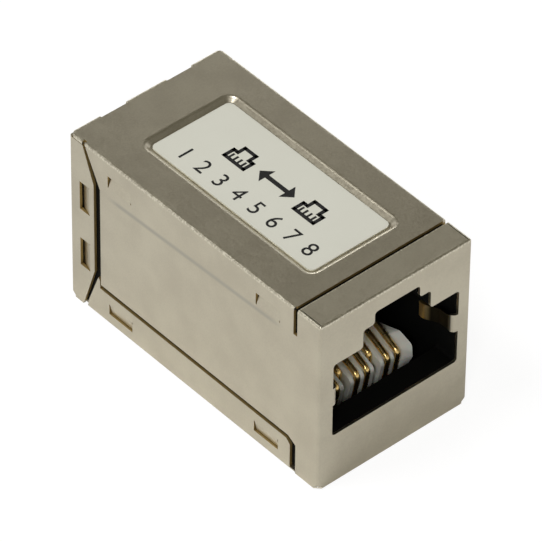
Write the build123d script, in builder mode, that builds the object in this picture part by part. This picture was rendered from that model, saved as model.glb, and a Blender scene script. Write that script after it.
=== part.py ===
import math
import os

from build123d import *

os.makedirs("parts", exist_ok=True)

# An inline coupler that joins two RJ45 plugs end to end, in millimetres.
# Z is up, Y runs from the front port to the rear port, and X is across.
# The origin lies under the middle of the box, on the face that it stands on.

# Port opening, as it is cut in both end plates
port_width = 12.5
port_height = 7.22
port_floor_z = 4.85
port_corner_radius = 0.3
port_shift = 0.12
port_depth = 12.6
key_wide_width = 6.7
key_wide_rise = 1.75
key_narrow_width = 4.47
key_narrow_rise = 1.16

# Walls that the outside box adds round the two ports
port_side_margin = 1.25
port_roof = 1.62
port_back_wall = 1.7

body_width = port_width + 2 * port_side_margin
port_top_z = port_floor_z + port_height
key_top_z = port_top_z + key_wide_rise + key_narrow_rise
body_height = key_top_z + port_roof
half_length = port_depth + port_back_wall
body_length = 2 * half_length

# Folded sheet of the two shields
sheet = 0.25
bend_radius = 0.2
seam = 0.06
through = sheet + seam

# Front of the shell: top strip, right flange and their gaps to the main cover
strip_length = 2.55
strip_gap = 0.34
slit_start = 2.54
slit_width = 0.42
slit_drop = 2.59

# Lower edge of the side walls and the front leg
wall_foot_z = 3.37
leg_length = 2.53
leg_corner_run = 0.81
leg_corner_rise = 0.51
foot_corner_run = 0.65
foot_corner_rise = 0.58

# Rear flanges, and the gap between each flange and its side wall
flange_top_length = 1.4
flange_length = 2.78
flange_foot_length = 1.7
flange_shoulder_drop = 3.5
flange_waist_z = 4.25
flange_foot_z = 0.85
wall_gap_top = 0.3
wall_gap = 0.75

# Notches in the rear edge of the top cover, between its three bends to the rear plate
rear_notch_length = 2.65
rear_notch_spacing = 6.5
rear_notch_depth = 0.28
rear_corner_run = 0.45

# Sunk panel of the top cover, and the label in it
recess_width = 9.05
recess_length = 19.42
recess_depth = 0.35
recess_wall_run = 0.42
recess_corner_radius = 0.9
recess_rim_radius = 0.4
recess_shift_x = 0.22
recess_shift_y = 0.15
label_thickness = 0.1
label_margin = 0.12
label_corner_radius = 0.5

# Lances: three-sided flaps that are pushed in from the walls
lance_push = 0.33
strip_lance_push = 0.17
lance_slit = 0.09
lance_length = 2.73
wall_lance_start = 4.45
wall_lance_drop = 2.57
wall_lance_height = 1.12
strip_lance_start = 4.5
strip_lance_top_z = 2.03
strip_lance_height = 1.0
flange_lance_start = 1.12
flange_lance_width = 1.15
flange_lance_height = 2.78
flange_lance_upper_drop = 5.6
flange_lance_lower_z = 5.27

# Bottom cover: side strips with a raised ear at the rear
strip_top_z = 2.94
strip_start = 3.16
strip_corner = 0.42
ear_setback = 3.43
ear_tip_setback = 3.23
ear_tip_z = 3.96
ear_shoulder_z = 3.7
ear_heel_setback = 2.04
ear_heel_z = 0.8
ear_foot_setback = 1.93
cover_corner = 0.9

# Spring fingers at the two sides of each port
finger_curl = 0.4
finger_curl_radius = 0.35
finger_waist_depth = 1.5
finger_crest_depth = 2.6
finger_depth = 3.1
finger_lean = 0.05
finger_reach = 1.05
finger_root_height = 1.7
finger_tip_height = 1.45
finger_z = 8.82

# Moulded jack bodies
body_clearance = 0.05
lance_clearance = 0.1
body_floor = 0.7
body_foot = 0.7
body_foot_z = 0.05
lip_depth = 2.22
ledge_depth = 3.25
ledge_z = 3.0
tail_pocket_depth = 0.4
board_slot_headroom = 0.25

# Spring wires, eight to a jack, with the third from each side set back
contact_count = 8
contact_pitch = 1.016
wire_diameter = 0.5
wire_slope = 25.0
wire_lean = 0.5
wire_knee_rise = 0.3
wire_nose_radius = 0.5
front_row_setback = 3.6
back_row_setback = 4.55
front_row_nose_z = 4.85
back_row_nose_z = 5.15
wire_end_clearance = 0.7
tail_length = 0.3
set_back_contacts = (3, 6)

# Comb-shaped sled that carries the wires
groove_clearance = 0.08
comb_nose_setback = 3.52
comb_nose_z = 4.7
comb_nose_radius = 0.55
comb_length = 4.6
comb_slope = 20.0

# Cheek at each side of the comb: a rounded wall that swells from the comb to its outer face
cheek_width = 0.66
cheek_rounding = 0.4
cheek_chin_setback = 3.0
cheek_chin_z = 4.2
cheek_brow_setback = 3.12
cheek_brow_z = 5.38
cheek_crown_setback = 4.5
cheek_crown_z = 5.82
cheek_ridge_setback = 7.3
cheek_ridge_z = 4.9
cheek_back_z = 4.5
cheek_inner_chin_setback = 3.72
cheek_inner_chin_z = 3.85
cheek_inner_brow_setback = 4.4
cheek_inner_brow_z = 4.65
cheek_inner_crown_setback = 5.4
cheek_inner_crown_z = 5.2
cheek_inner_ridge_z = 5.0
peg_diameter = 1.2
peg_spacing = 6.0
peg_setback = 6.6
peg_clearance = 0.05

# Circuit board under the two sleds
board_thickness = 1.0
board_side_gap = 0.25
board_end_gap = 0.1
board_corner_radius = 0.5
hole_clearance = 0.03

board_bottom_z = sheet + body_clearance + body_floor
board_top_z = board_bottom_z + board_thickness
board_width = port_width - 2 * board_side_gap
board_end_setback = ledge_depth + board_end_gap

front_plane = Plane((0, -half_length, 0), x_dir=(1, 0, 0), z_dir=(0, -1, 0))
rear_plane = Plane((0, half_length, 0), x_dir=(-1, 0, 0), z_dir=(0, 1, 0))


def port_outline():
    """The stepped port opening, with X across and Y up from the standing face."""
    with BuildSketch() as outline:
        with Locations((port_shift, port_floor_z)):
            Rectangle(port_width, port_height, align=(Align.CENTER, Align.MIN))
        with Locations((port_shift, port_top_z)):
            Rectangle(key_wide_width, key_wide_rise, align=(Align.CENTER, Align.MIN))
        with Locations((port_shift, port_top_z + key_wide_rise)):
            Rectangle(key_narrow_width, key_narrow_rise, align=(Align.CENTER, Align.MIN))
        fillet(outline.vertices(), port_corner_radius)
    return outline.sketch


def hinge_plane(side, y, z, tip_direction):
    """A plane on an outside wall, with its origin on the hinge of a lance.

    Its X runs along the hinge, its Y towards the tip, and its Z out of the wall.
    """
    outward = Vector(side, 0, 0)
    return Plane((side * body_width / 2, y, z), x_dir=tip_direction.cross(outward), z_dir=outward)


def lance_window(length, height):
    """The window that a lance leaves, with the hinge along X."""
    with BuildSketch() as window:
        Rectangle(length, height, align=(Align.CENTER, Align.MIN))
    return window.sketch


def lance_flap(length, height, push):
    """The flap of a lance, hinged along X and pushed inwards, down Z."""
    tip = height - lance_slit
    with BuildPart() as flap:
        with BuildSketch(Plane.YZ):
            Polygon(
                (-sheet, 0),
                (0, 0),
                (tip, -push),
                (tip, -push - sheet),
                (0, -sheet),
                (-sheet, -sheet),
                align=None,
            )
        extrude(amount=length / 2 - lance_slit, both=True)
    return flap.part


def cover_outline():
    """The bottom plate between the end plates, wider where it folds up at the sides."""
    with BuildSketch() as outline:
        Rectangle(body_width - 2 * through, body_length - 2 * through)
        chamfer(outline.vertices(), cover_corner)
        with Locations((0, (leg_length + seam - ear_foot_setback) / 2)):
            Rectangle(body_width, body_length - leg_length - seam - ear_foot_setback)
    return outline.sketch


def cheek_profile(chin, brow, crown, ridge):
    """A cheek's side view, from its foot over four points, each a setback and a height, to its back."""
    with BuildSketch() as profile:
        points = [(setback - half_length, z) for setback, z in (chin, brow, crown, ridge)]
        Polygon(
            (comb_foot_y, board_top_z),
            *points,
            (comb_back_y, cheek_back_z),
            (comb_back_y, board_top_z),
            align=None,
        )
        fillet([vertex for vertex in profile.vertices() if (vertex.X, vertex.Y) in points], cheek_rounding)
    return profile.sketch


def foot_corner_plane(side, end):
    """The slanting plane that cuts the foot of the shell at one corner, with its Z out of the box."""
    fold_point = Vector(side * body_width / 2, end * half_length, foot_corner_rise)
    outward = Vector(side / foot_corner_run, end / foot_corner_run, -1 / foot_corner_rise)
    return Plane(fold_point, x_dir=(-end * side, 1, 0), z_dir=outward)


up = Vector(0, 0, 1)
down = Vector(0, 0, -1)
wall_lance_z = body_height - wall_lance_drop
wall_lance_y = half_length - wall_lance_start - lance_length / 2
strip_lance_y = half_length - strip_lance_start - lance_length / 2
flange_hinge_y = half_length - flange_lance_start - flange_lance_width
flange_lance_heights = (body_height - flange_lance_upper_drop, flange_lance_lower_z)
both_sides = (-1, 1)

wall_lance_planes = []
flange_lance_planes = []
strip_lance_planes = []
foot_corner_planes = []
for side in both_sides:
    for end in both_sides:
        wall_lance_planes.append(hinge_plane(side, end * wall_lance_y, wall_lance_z, up))
        strip_lance_planes.append(hinge_plane(side, end * strip_lance_y, strip_lance_top_z, down))
        foot_corner_planes.append(foot_corner_plane(side, end))
    for z in flange_lance_heights:
        flange_lance_planes.append(hinge_plane(side, flange_hinge_y, z, Vector(0, 1, 0)))

# Spring finger, with X into the opening, Y into the port and Z up
with BuildPart() as finger:
    with BuildSketch():
        with BuildLine():
            FilletPolyline(
                (-sheet, sheet / 2),
                (finger_curl, sheet / 2),
                (finger_curl + finger_lean, finger_waist_depth),
                (finger_reach, finger_crest_depth),
                (finger_reach - finger_lean, finger_depth),
                radius=finger_curl_radius,
            )
        trace(line_width=sheet)
    extrude(amount=finger_root_height / 2, both=True)
    with BuildSketch(Plane.YZ):
        Polygon(
            (0, -finger_root_height / 2),
            (sheet, -finger_root_height / 2),
            (sheet + finger_curl, -finger_tip_height / 2),
            (finger_depth + sheet, -finger_tip_height / 2),
            (finger_depth + sheet, finger_tip_height / 2),
            (sheet + finger_curl, finger_tip_height / 2),
            (sheet, finger_root_height / 2),
            (0, finger_root_height / 2),
            align=None,
        )
    extrude(amount=port_width, both=True, mode=Mode.INTERSECT)

finger_seats = []
for end_plane in (front_plane, rear_plane):
    for side in both_sides:
        seat_point = end_plane.from_local_coords(Vector(port_shift + side * port_width / 2, finger_z, 0))
        inward = end_plane.x_dir * -side
        seat = Plane(seat_point, x_dir=inward, z_dir=inward.cross(end_plane.z_dir * -1))
        finger_seats.append(seat.location)

# Main shield: one sheet, folded into the top cover, the side walls and both end plates
top_cover_start = half_length - strip_length - strip_gap
wall_rear = flange_length + wall_gap

with BuildPart() as shield_shell:
    with BuildSketch():
        Rectangle(body_width, body_length)
    extrude(amount=body_height)
    fillet(shield_shell.edges().filter_by(Axis.Z) + shield_shell.edges().group_by(Axis.Z)[-1], bend_radius)
    with BuildSketch():
        Rectangle(body_width - 2 * sheet, body_length - 2 * sheet)
    extrude(amount=body_height - sheet, mode=Mode.SUBTRACT)

    # Sunk panel for the label, drawn down from the top cover
    recess_taper = math.degrees(math.atan2(recess_wall_run, recess_depth))
    with BuildSketch(Plane.XY.offset(body_height)):
        with Locations((recess_shift_x, recess_shift_y)):
            RectangleRounded(
                recess_width + 2 * sheet,
                recess_length + 2 * sheet,
                recess_corner_radius + sheet,
            )
    extrude(amount=-recess_depth - sheet, taper=recess_taper / 2)
    with BuildSketch(Plane.XY.offset(body_height)):
        with Locations((recess_shift_x, recess_shift_y)):
            RectangleRounded(recess_width, recess_length, recess_corner_radius)
    extrude(amount=-recess_depth, taper=recess_taper, mode=Mode.SUBTRACT)
    top_face = shield_shell.faces().sort_by(Axis.Z)[-1]
    fillet(top_face.inner_wires()[0].edges(), recess_rim_radius)

    # Port openings, with a spring finger at each side
    with BuildSketch(front_plane, rear_plane):
        add(port_outline())
    extrude(amount=-2 * sheet, mode=Mode.SUBTRACT)
    with Locations(*finger_seats):
        add(finger.part)

    # Gap between the top strip and the top cover
    with BuildSketch(Plane.XY.offset(body_height)):
        with Locations((0, -top_cover_start)):
            Rectangle(body_width, strip_gap, align=(Align.CENTER, Align.MAX))
    extrude(amount=-through, mode=Mode.SUBTRACT)

    # Seams where the ends of the top strip butt against the side walls
    with BuildSketch(Plane.XY.offset(body_height)):
        for side in both_sides:
            with Locations((side * (body_width / 2 - sheet), -half_length + bend_radius)):
                Rectangle(seam, strip_length, align=(Align.CENTER, Align.MIN))
    extrude(amount=-through, mode=Mode.SUBTRACT)

    # Relief slit in the left wall, and the full seam that parts the right flange from its wall
    with BuildSketch(Plane.YZ.offset(-body_width / 2)):
        with Locations((-half_length + slit_start, body_height)):
            Rectangle(slit_width, slit_drop, align=(Align.MIN, Align.MAX))
    extrude(amount=through, mode=Mode.SUBTRACT)
    with BuildSketch(Plane.YZ.offset(body_width / 2)):
        with Locations((-half_length + slit_start, body_height)):
            Rectangle(slit_width, body_height, align=(Align.MIN, Align.MAX))
    extrude(amount=-through, mode=Mode.SUBTRACT)

    # Space under each side wall for the bottom cover, and up between the wall and the rear flange
    for side in both_sides:
        with BuildSketch(Plane.YZ.offset(side * body_width / 2)):
            Polygon(
                (-half_length + leg_length, 0),
                (-half_length + leg_length, wall_foot_z - leg_corner_rise),
                (-half_length + leg_length + leg_corner_run, wall_foot_z),
                (half_length - wall_rear, wall_foot_z),
                (half_length - wall_rear, body_height - flange_shoulder_drop),
                (half_length - flange_top_length - wall_gap_top, body_height),
                (half_length - flange_top_length, body_height),
                (half_length - flange_length, body_height - flange_shoulder_drop),
                (half_length - flange_length, flange_waist_z),
                (half_length - flange_foot_length, flange_foot_z),
                (half_length - flange_top_length, 0),
                align=None,
            )
        extrude(amount=-side * through, mode=Mode.SUBTRACT)
        # Seam between the top of the flange and the top cover
        with BuildSketch(Plane.YZ.offset(side * body_width / 2)):
            with Locations((half_length - sheet, body_height - sheet)):
                Rectangle(flange_top_length + wall_gap_top, seam, align=(Align.MAX, Align.MAX))
        extrude(amount=-side * through, mode=Mode.SUBTRACT)

    # Notches between the bends that carry the rear plate
    with BuildSketch(Plane.XY.offset(body_height)):
        with Locations((0, half_length)):
            with GridLocations(rear_notch_spacing, 0, 2, 1):
                Rectangle(rear_notch_length, rear_notch_depth, align=(Align.CENTER, Align.MAX))
    extrude(amount=-through, mode=Mode.SUBTRACT)

    # Cut corners of the top cover at the rear
    with BuildSketch(Plane.XY.offset(body_height)):
        with Locations((body_width / 2, half_length), (-body_width / 2, half_length)):
            Rectangle(rear_corner_run * math.sqrt(2), rear_corner_run * math.sqrt(2), rotation=45)
    extrude(amount=-sheet, mode=Mode.SUBTRACT)

    # Cut corners at the foot of the folds
    with BuildSketch(*foot_corner_planes):
        Rectangle(2 * foot_corner_run, 2 * foot_corner_run)
    extrude(amount=foot_corner_run, mode=Mode.SUBTRACT)

    # Lances in the side walls and in the rear flanges
    with BuildSketch(*wall_lance_planes):
        add(lance_window(lance_length, wall_lance_height))
    extrude(amount=-through, mode=Mode.SUBTRACT)
    with BuildSketch(*flange_lance_planes):
        add(lance_window(flange_lance_height, flange_lance_width))
    extrude(amount=-through, mode=Mode.SUBTRACT)
    with Locations(*[plane.location for plane in wall_lance_planes]):
        add(lance_flap(lance_length, wall_lance_height, lance_push))
    with Locations(*[plane.location for plane in flange_lance_planes]):
        add(lance_flap(flange_lance_height, flange_lance_width, lance_push))
shield_shell.part.label = "shield_shell"
export_step(shield_shell.part, "parts/shield_shell.step")

# Bottom cover: one sheet, folded up into a strip along each side
with BuildPart() as bottom_cover:
    with BuildSketch():
        Rectangle(body_width, body_length)
    extrude(amount=ear_tip_z)
    fillet(bottom_cover.edges().group_by(Axis.Z)[0].filter_by(Axis.Y), bend_radius)
    with BuildSketch(Plane.XY.offset(sheet)):
        Rectangle(body_width - 2 * sheet, body_length)
    extrude(amount=ear_tip_z, mode=Mode.SUBTRACT)
    with BuildSketch(Plane.YZ):
        with Locations((0, sheet)):
            Rectangle(body_length, ear_tip_z, align=(Align.CENTER, Align.MIN))
        Polygon(
            (-half_length + strip_start, 0),
            (-half_length + strip_start, strip_top_z - strip_corner),
            (-half_length + strip_start + strip_corner, strip_top_z),
            (half_length - ear_setback, strip_top_z),
            (half_length - ear_setback, ear_shoulder_z),
            (half_length - ear_tip_setback, ear_tip_z),
            (half_length - ear_heel_setback, ear_heel_z),
            (half_length - ear_foot_setback, 0),
            align=None,
            mode=Mode.SUBTRACT,
        )
    extrude(amount=body_width, both=True, mode=Mode.SUBTRACT)
    with BuildSketch():
        Rectangle(body_width, body_length)
        add(cover_outline(), mode=Mode.SUBTRACT)
    extrude(amount=sheet, mode=Mode.SUBTRACT)
    with BuildSketch(*strip_lance_planes):
        add(lance_window(lance_length, strip_lance_height))
    extrude(amount=-through, mode=Mode.SUBTRACT)
    with Locations(*[plane.location for plane in strip_lance_planes]):
        add(lance_flap(lance_length, strip_lance_height, strip_lance_push))
bottom_cover.part.label = "bottom_cover"
export_step(bottom_cover.part, "parts/bottom_cover.step")

# Label, a thin film on the floor of the sunk panel
label_width = recess_width - 2 * recess_wall_run - 2 * label_margin
label_length = recess_length - 2 * recess_wall_run - 2 * label_margin
with BuildPart() as label:
    with BuildSketch(Plane.XY.offset(body_height - recess_depth)):
        with Locations((recess_shift_x, recess_shift_y)):
            RectangleRounded(label_width, label_length, label_corner_radius)
    extrude(amount=label_thickness)
label.part.label = "label"
export_step(label.part, "parts/label.step")

# Jack body, moulded, with the port, the pit under it and the slot for the board
jack_half_width = body_width / 2 - sheet - body_clearance
jack_top_z = body_height - sheet - body_clearance
jack_bottom_z = sheet + body_clearance
jack_front_y = -half_length + sheet + body_clearance
jack_length = -body_clearance / 2 - jack_front_y
lance_reach = lance_push + lance_clearance
pocket_room = 2 * lance_clearance
pit_back_y = -half_length + port_depth

with BuildPart() as front_jack_body:
    with BuildSketch(Plane.XY.offset(jack_bottom_z)):
        with Locations((0, jack_front_y)):
            Rectangle(2 * jack_half_width, jack_length, align=(Align.CENTER, Align.MIN))
    extrude(amount=jack_top_z - jack_bottom_z)
    fillet(front_jack_body.edges().filter_by(Axis.Y), bend_radius)

    # Feet that reach down past the cut corners of the bottom cover
    with BuildSketch(Plane.XY.offset(body_foot_z)):
        for side in both_sides:
            Polygon(
                (side * jack_half_width, jack_front_y),
                (side * jack_half_width, jack_front_y + body_foot),
                (side * (jack_half_width - body_foot), jack_front_y),
                align=None,
            )
    extrude(amount=body_floor)
    with BuildSketch(front_plane):
        add(port_outline())
    extrude(amount=-port_depth, mode=Mode.SUBTRACT)

    # Pit for the sled, behind the front lip and the lower ledge
    with BuildSketch(Plane.XY.offset(ledge_z)):
        with Locations((port_shift, -half_length + lip_depth)):
            Rectangle(port_width, port_depth - lip_depth, align=(Align.CENTER, Align.MIN))
    extrude(amount=port_floor_z + port_corner_radius - ledge_z, mode=Mode.SUBTRACT)
    with BuildSketch(Plane.XY.offset(board_bottom_z)):
        with Locations((port_shift, -half_length + ledge_depth)):
            Rectangle(port_width, port_depth - ledge_depth, align=(Align.CENTER, Align.MIN))
    extrude(amount=ledge_z - board_bottom_z, mode=Mode.SUBTRACT)

    # Slot for the board, through the back wall
    with BuildSketch(Plane.XY.offset(board_bottom_z)):
        with Locations((port_shift, pit_back_y)):
            Rectangle(port_width, port_back_wall, align=(Align.CENTER, Align.MIN))
    extrude(amount=board_thickness + board_slot_headroom, mode=Mode.SUBTRACT)

    # Pocket in the floor for the ends of the wires
    with BuildSketch(Plane.XY.offset(board_bottom_z)):
        tail_setback = (front_row_setback + back_row_setback) / 2 + wire_lean
        with Locations((port_shift, -half_length + tail_setback)):
            Rectangle(
                contact_count * contact_pitch,
                back_row_setback - front_row_setback + 2 * wire_diameter,
            )
    extrude(amount=-tail_pocket_depth, mode=Mode.SUBTRACT)

    # Pocket in the roof for the sunk panel of the top cover
    with BuildSketch(Plane.XY.offset(jack_top_z)):
        Rectangle(
            recess_width + 2 * (sheet + recess_shift_x + body_clearance),
            recess_length + 2 * (sheet + recess_shift_y + body_clearance),
        )
    extrude(amount=-recess_depth - body_clearance, mode=Mode.SUBTRACT)

    # Pockets in the sides for the lances
    for side in both_sides:
        with BuildSketch(Plane.YZ.offset(side * jack_half_width)):
            with Locations((-wall_lance_y, wall_lance_z + wall_lance_height / 2)):
                Rectangle(lance_length + pocket_room, wall_lance_height + pocket_room)
            with Locations((-strip_lance_y, strip_lance_top_z - strip_lance_height / 2)):
                Rectangle(lance_length + pocket_room, strip_lance_height + pocket_room)
            for z in flange_lance_heights:
                with Locations((-flange_hinge_y - flange_lance_width / 2, z)):
                    Rectangle(flange_lance_width + pocket_room, flange_lance_height + pocket_room)
        extrude(amount=-side * lance_reach, mode=Mode.SUBTRACT)
front_jack_body.part.label = "front_jack_body"
export_step(front_jack_body.part, "parts/front_jack_body.step")

rear_jack_body = front_jack_body.part.rotate(Axis.Z, 180)
rear_jack_body.label = "rear_jack_body"
export_step(rear_jack_body, "parts/rear_jack_body.step")

# Spring wires: up from the board, round the nose of the comb and back into the port
contact_numbers = range(1, contact_count + 1)
rise = math.tan(math.radians(wire_slope))
wire_end_y = -half_length + port_depth - wire_end_clearance


def contact_x(number):
    """Where a contact lies across the front port, which has its first pin at the right."""
    return port_shift + ((contact_count + 1) / 2 - number) * contact_pitch


def contact_nose(number):
    """The setback and height of the corner where a wire turns back into the port."""
    if number in set_back_contacts:
        return back_row_setback, back_row_nose_z
    return front_row_setback, front_row_nose_z


for number in contact_numbers:
    setback, nose_z = contact_nose(number)
    nose_y = -half_length + setback
    with BuildPart() as contact:
        with BuildLine(Plane.YZ.offset(contact_x(number))) as wire_path:
            FilletPolyline(
                (nose_y + wire_lean, board_bottom_z - tail_length),
                (nose_y + wire_lean, board_top_z + wire_knee_rise),
                (nose_y, nose_z),
                (wire_end_y, nose_z + (wire_end_y - nose_y) * rise),
                radius=wire_nose_radius,
            )
        with BuildSketch(Plane.XY.offset(board_bottom_z - tail_length)):
            with Locations((contact_x(number), nose_y + wire_lean)):
                Circle(wire_diameter / 2)
        sweep(path=wire_path.wires()[0])
    contact.part.label = f"front_contact_{number}"
    export_step(contact.part, f"parts/front_contact_{number}.step")
    rear_contact = contact.part.rotate(Axis.Z, 180)
    rear_contact.label = f"rear_contact_{number}"
    export_step(rear_contact, f"parts/rear_contact_{number}.step")

# Sled: a comb between two cheeks, with a groove for each wire
groove_width = wire_diameter + 2 * groove_clearance
comb_width = (contact_count - 1) * contact_pitch + groove_width
comb_front_y = -half_length + comb_nose_setback
comb_foot_y = comb_front_y + wire_lean
comb_back_y = comb_front_y + comb_length
comb_back_z = comb_nose_z + comb_length * math.tan(math.radians(comb_slope))
groove_drop = (wire_diameter / 2 + groove_clearance) / math.cos(math.radians(wire_slope))

with BuildPart() as front_contact_sled:
    with BuildSketch(Plane.YZ.offset(port_shift)) as comb_section:
        Polygon(
            (comb_foot_y, board_top_z),
            (comb_front_y, comb_nose_z),
            (comb_back_y, comb_back_z),
            (comb_back_y, board_top_z),
            align=None,
        )
        fillet(comb_section.vertices().sort_by(Axis.X)[0], comb_nose_radius)
    extrude(amount=comb_width / 2, both=True)
    for number in contact_numbers:
        setback, nose_z = contact_nose(number)
        groove_y = -half_length + setback + wire_diameter / 2 + groove_clearance
        groove_z = nose_z + (groove_y - setback + half_length) * rise - groove_drop
        with BuildSketch(Plane.YZ.offset(contact_x(number))):
            Polygon(
                (comb_front_y, board_top_z),
                (groove_y + wire_lean, board_top_z),
                (groove_y, groove_z),
                (comb_back_y, groove_z + (comb_back_y - groove_y) * rise),
                (comb_back_y, comb_back_z + groove_width),
                (comb_front_y, comb_back_z + groove_width),
                align=None,
            )
        extrude(amount=groove_width / 2, both=True, mode=Mode.SUBTRACT)
    for side in both_sides:
        with BuildSketch(Plane.YZ.offset(port_shift + side * comb_width / 2)):
            add(
                cheek_profile(
                    (cheek_inner_chin_setback, cheek_inner_chin_z),
                    (cheek_inner_brow_setback, cheek_inner_brow_z),
                    (cheek_inner_crown_setback, cheek_inner_crown_z),
                    (cheek_ridge_setback, cheek_inner_ridge_z),
                )
            )
        with BuildSketch(Plane.YZ.offset(port_shift + side * (comb_width / 2 + cheek_width))):
            add(
                cheek_profile(
                    (cheek_chin_setback, cheek_chin_z),
                    (cheek_brow_setback, cheek_brow_z),
                    (cheek_crown_setback, cheek_crown_z),
                    (cheek_ridge_setback, cheek_ridge_z),
                )
            )
        loft(ruled=True)
    # Pegs that hold the sled in the board
    with BuildSketch(Plane.XY.offset(board_top_z)):
        with Locations((port_shift, -half_length + peg_setback)):
            with GridLocations(peg_spacing, 0, 2, 1):
                Circle(peg_diameter / 2)
    extrude(amount=-board_thickness)
front_contact_sled.part.label = "front_contact_sled"
export_step(front_contact_sled.part, "parts/front_contact_sled.step")

rear_contact_sled = front_contact_sled.part.rotate(Axis.Z, 180)
rear_contact_sled.label = "rear_contact_sled"
export_step(rear_contact_sled, "parts/rear_contact_sled.step")

# Circuit board, under both sleds, with holes for the wires and the pegs
with BuildPart() as circuit_board:
    with BuildSketch(Plane.XY.offset(board_bottom_z)):
        RectangleRounded(
            board_width - 2 * port_shift,
            body_length - 2 * board_end_setback,
            board_corner_radius,
        )
        for end in both_sides:
            for number in contact_numbers:
                hole_setback = contact_nose(number)[0] + wire_lean
                with Locations((-end * contact_x(number), end * (half_length - hole_setback))):
                    Circle(wire_diameter / 2 + hole_clearance, mode=Mode.SUBTRACT)
            with Locations((-end * port_shift, end * (half_length - peg_setback))):
                with GridLocations(peg_spacing, 0, 2, 1):
                    Circle(peg_diameter / 2 + peg_clearance, mode=Mode.SUBTRACT)
    extrude(amount=board_thickness)
circuit_board.part.label = "circuit_board"
export_step(circuit_board.part, "parts/circuit_board.step")
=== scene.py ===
"""Dresses an inline network coupler: two folded plated sheets round a pair of moulded jacks."""

import logging
import math
from dataclasses import dataclass
from enum import Enum
from typing import Any

import bpy
import numpy as np
from mathutils import Matrix, Vector

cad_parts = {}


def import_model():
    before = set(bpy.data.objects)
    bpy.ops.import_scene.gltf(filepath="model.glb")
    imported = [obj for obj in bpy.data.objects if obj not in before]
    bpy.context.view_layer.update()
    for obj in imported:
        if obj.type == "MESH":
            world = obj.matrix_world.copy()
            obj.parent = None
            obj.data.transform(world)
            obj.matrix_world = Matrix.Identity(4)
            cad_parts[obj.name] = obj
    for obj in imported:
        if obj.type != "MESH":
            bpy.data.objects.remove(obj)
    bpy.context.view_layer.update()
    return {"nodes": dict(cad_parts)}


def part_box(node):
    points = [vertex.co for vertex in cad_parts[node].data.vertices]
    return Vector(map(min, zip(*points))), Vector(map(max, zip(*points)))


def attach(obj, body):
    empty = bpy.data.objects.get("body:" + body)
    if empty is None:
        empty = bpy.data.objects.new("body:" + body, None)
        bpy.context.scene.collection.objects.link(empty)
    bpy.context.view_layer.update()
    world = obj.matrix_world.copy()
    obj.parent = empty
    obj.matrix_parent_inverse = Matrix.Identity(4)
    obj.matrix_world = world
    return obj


LOG = logging.getLogger("coupler")

MM = 0.001
PHOTO_WIDTH = 542
ROOT = "root"

Colour = tuple[float, float, float]
Span = tuple[float, float]
Face = tuple[int, ...]
Shape = tuple[np.ndarray, list[Face]]
Socket = bpy.types.NodeSocket
NodeTree = bpy.types.NodeTree
Material = bpy.types.Material

WHITE: Colour = (1.0, 1.0, 1.0)

# The values that most of a noise texture keeps to
NOISE_SPAN: Span = (0.2, 0.8)

# The Mix node's factor and colour sockets, by number because others have the same names
MIX_FACTOR = 0
MIX_FIRST = 6
MIX_SECOND = 7
MIX_RESULT = 2


class Finish(Enum):
    """The finishes that the coupler's nodes take."""

    SHIELD = "shield"
    JACK = "jack"
    SLED = "sled"
    BOARD = "board"
    GOLD = "gold"
    FILM = "film"


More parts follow.
